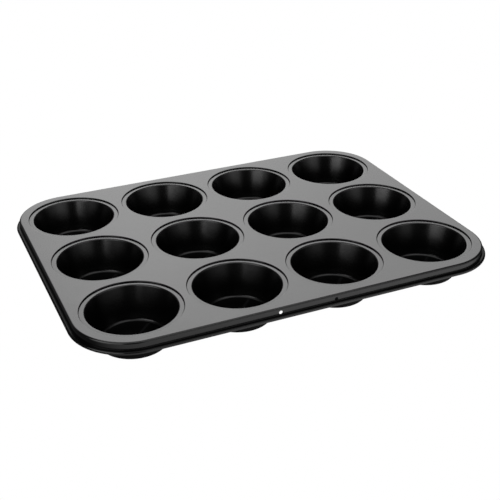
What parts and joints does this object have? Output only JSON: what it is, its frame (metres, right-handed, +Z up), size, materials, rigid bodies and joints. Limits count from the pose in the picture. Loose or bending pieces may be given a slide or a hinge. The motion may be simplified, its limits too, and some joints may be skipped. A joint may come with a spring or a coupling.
{
  "type": "muffin tin",
  "caption": "Wide baking tin of round tapered cups hung in a flat steel deck, with a short skirt, an edge rolled round a wire and a pair of small hanging holes.",
  "frame": {"origin": "middle of the flat plane that the undersides of the cups stand on", "axes": "+X along the rows of four cups, left to right; +Y from the front edge, the one with the hanging holes, to the back edge; +Z up"},
  "size_m": [0.3542, 0.2702, 0.0287],
  "materials": {
    "frame_coating": "satin black non-stick coating on sheet steel",
    "cup_coating": "satin black non-stick coating on drawn sheet steel",
    "edge_wire": "bare drawn steel wire"
  },
  "bodies": {
    "root": {"pan_frame": "frame_coating", "rim_wire": "edge_wire", "cup_front_1": "cup_coating", "cup_front_2": "cup_coating", "cup_front_3": "cup_coating", "cup_front_4": "cup_coating", "cup_middle_1": "cup_coating", "cup_middle_2": "cup_coating", "cup_middle_3": "cup_coating", "cup_middle_4": "cup_coating", "cup_back_1": "cup_coating", "cup_back_2": "cup_coating", "cup_back_3": "cup_coating", "cup_back_4": "cup_coating"}
  },
  "joints": []
}
